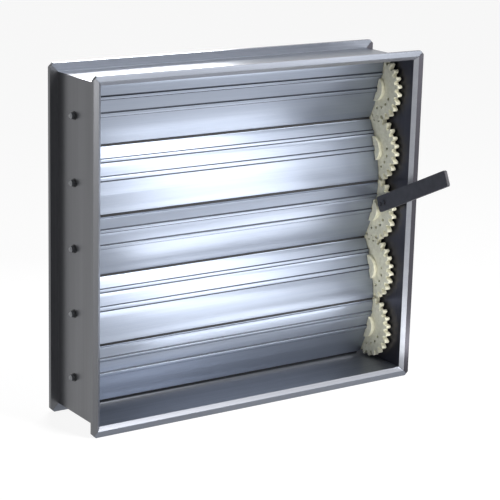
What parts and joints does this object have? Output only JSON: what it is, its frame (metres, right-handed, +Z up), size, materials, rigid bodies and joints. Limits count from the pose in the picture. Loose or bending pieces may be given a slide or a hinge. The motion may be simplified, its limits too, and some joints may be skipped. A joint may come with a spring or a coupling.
{
  "type": "volume control damper",
  "caption": "Opposed-blade air volume control damper: a mitred flanged aluminium frame with extruded blades geared together at one end and turned by a hand lever.",
  "frame": {"origin": "on the duct's centre line at the axis of the middle blade, 12 mm behind the middle of the frame's depth", "axes": "+X along the blades towards the gears, +Y along the duct away from the hand lever's side, +Z up"},
  "size_m": [0.594, 0.2499, 0.54],
  "materials": {
    "frame_aluminium": "mill-finish extruded aluminium, satin with fine draw lines",
    "blade_aluminium": "mill-finish extruded aluminium, bright with fine draw lines along the blade",
    "gear_nylon": "natural ivory moulded nylon, slightly glossy",
    "bush_nylon": "dark moulded nylon",
    "pin_steel": "turned steel",
    "key_steel": "zinc-plated steel",
    "lever_paint": "charcoal paint, matt",
    "screw_steel": "zinc-plated steel"
  },
  "bodies": {
    "frame": {"frame_top": "frame_aluminium", "frame_bottom": "frame_aluminium", "frame_left": "frame_aluminium", "frame_right": "frame_aluminium", "corner_key_front_bottom_left": "key_steel", "corner_key_front_bottom_right": "key_steel", "corner_key_front_top_left": "key_steel", "corner_key_front_top_right": "key_steel", "corner_key_rear_bottom_left": "key_steel", "corner_key_rear_bottom_right": "key_steel", "corner_key_rear_top_left": "key_steel", "corner_key_rear_top_right": "key_steel", "bush_1": "bush_nylon", "bush_2": "bush_nylon", "bush_3": "bush_nylon", "bush_4": "bush_nylon", "bush_5": "bush_nylon"},
    "blade_1": {"blade_1": "blade_aluminium", "gear_1": "gear_nylon", "pin_1": "pin_steel"},
    "blade_2": {"blade_2": "blade_aluminium", "gear_2": "gear_nylon", "pin_2": "pin_steel"},
    "blade_3": {"blade_3": "blade_aluminium", "gear_3": "gear_nylon", "pin_3": "pin_steel", "hand_lever": "lever_paint", "lever_screw_1": "screw_steel", "lever_screw_2": "screw_steel"},
    "blade_4": {"blade_4": "blade_aluminium", "gear_4": "gear_nylon", "pin_4": "pin_steel"},
    "blade_5": {"blade_5": "blade_aluminium", "gear_5": "gear_nylon", "pin_5": "pin_steel"}
  },
  "joints": [
    {"name": "blade_1_turn", "type": "hinge", "parent": "frame", "child": "blade_1", "pos_m": [0, 0, 0.2], "axis": [1, 0, 0], "range_deg": [-17, 73]},
    {"name": "blade_2_turn", "type": "hinge", "parent": "frame", "child": "blade_2", "pos_m": [0, 0, 0.1], "axis": [1, 0, 0], "range_deg": [-73, 17]},
    {"name": "blade_3_turn", "type": "hinge", "parent": "frame", "child": "blade_3", "pos_m": [0, 0, 0], "axis": [1, 0, 0], "range_deg": [-17, 73]},
    {"name": "blade_4_turn", "type": "hinge", "parent": "frame", "child": "blade_4", "pos_m": [0, 0, -0.1], "axis": [1, 0, 0], "range_deg": [-73, 17]},
    {"name": "blade_5_turn", "type": "hinge", "parent": "frame", "child": "blade_5", "pos_m": [0, 0, -0.2], "axis": [1, 0, 0], "range_deg": [-17, 73]}
  ],
  "couplings": [
    {"joint": "blade_1_turn", "follows": "blade_3_turn", "ratio": 1},
    {"joint": "blade_2_turn", "follows": "blade_3_turn", "ratio": -1},
    {"joint": "blade_4_turn", "follows": "blade_3_turn", "ratio": -1},
    {"joint": "blade_5_turn", "follows": "blade_3_turn", "ratio": 1}
  ]
}
